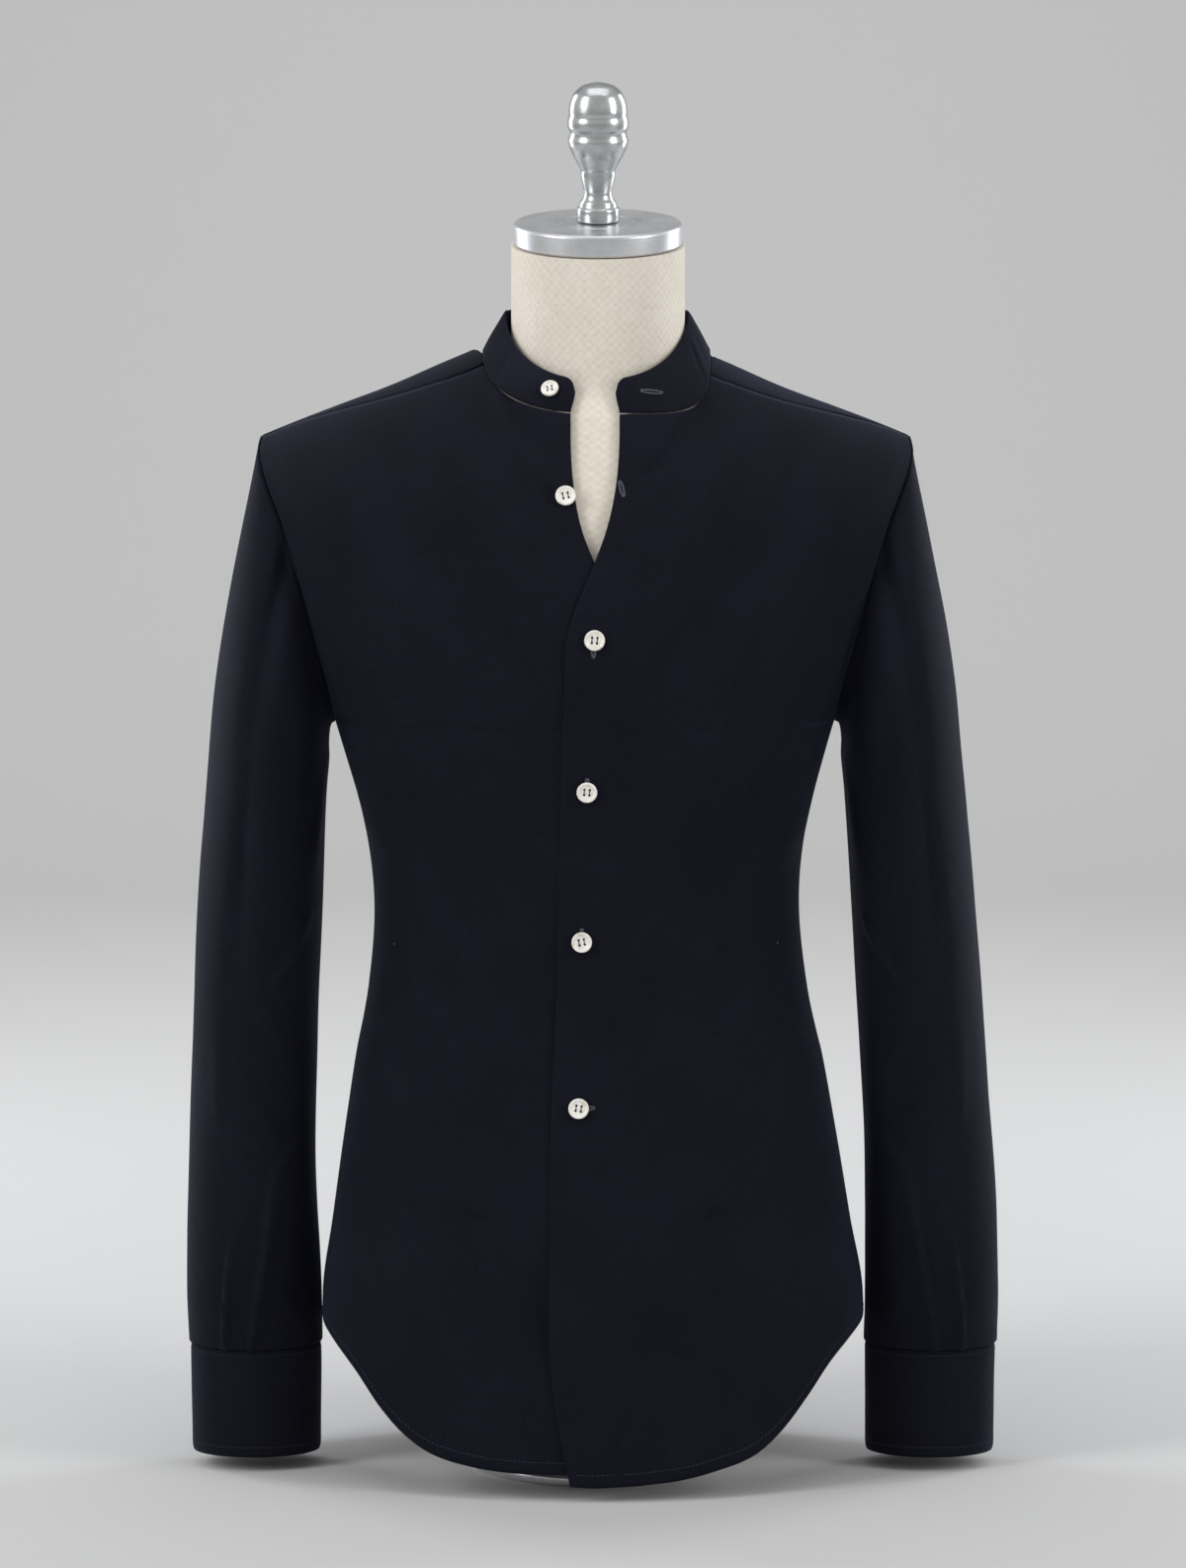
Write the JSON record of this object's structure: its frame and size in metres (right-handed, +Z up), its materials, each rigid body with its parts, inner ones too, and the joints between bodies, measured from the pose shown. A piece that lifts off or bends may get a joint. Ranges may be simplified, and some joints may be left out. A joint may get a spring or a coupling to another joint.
{
  "type": "mandarin collar shirt on dress form",
  "caption": "Long-sleeved shirt with a stand-up band collar and curved shirt-tail hem, worn open at the neck by a limbless dress form on a short stand",
  "frame": {"origin": "middle of the post's axis on the underside of the stand's round foot, where the part rests", "axes": "+Z up, the shirt's front faces -Y, the wearer's left is +X"},
  "size_m": [0.5424, 0.2433, 0.9141],
  "materials": {
    "shirt_cloth": "dark navy brushed cotton twill, matt with a soft nap",
    "pearl": "pale mother-of-pearl, polished",
    "form_linen": "cream linen stretched over the form, matt",
    "brushed_metal": "turned and brushed aluminium",
    "polished_metal": "polished cast aluminium",
    "stand_metal": "satin aluminium"
  },
  "bodies": {
    "root": {"front_right": "shirt_cloth", "front_left": "shirt_cloth", "back": "shirt_cloth", "yoke": "shirt_cloth", "collar_band": "shirt_cloth", "sleeve_right": "shirt_cloth", "sleeve_left": "shirt_cloth", "cuff_right": "shirt_cloth", "cuff_left": "shirt_cloth", "placket_right": "shirt_cloth", "placket_left": "shirt_cloth", "button_collar": "pearl", "button_1": "pearl", "button_2": "pearl", "button_3": "pearl", "button_4": "pearl", "button_5": "pearl", "button_cuff_right": "pearl", "button_cuff_left": "pearl", "form": "form_linen", "neck_cap": "brushed_metal", "knob": "polished_metal", "stand_post": "stand_metal", "stand_foot": "stand_metal"}
  },
  "joints": []
}
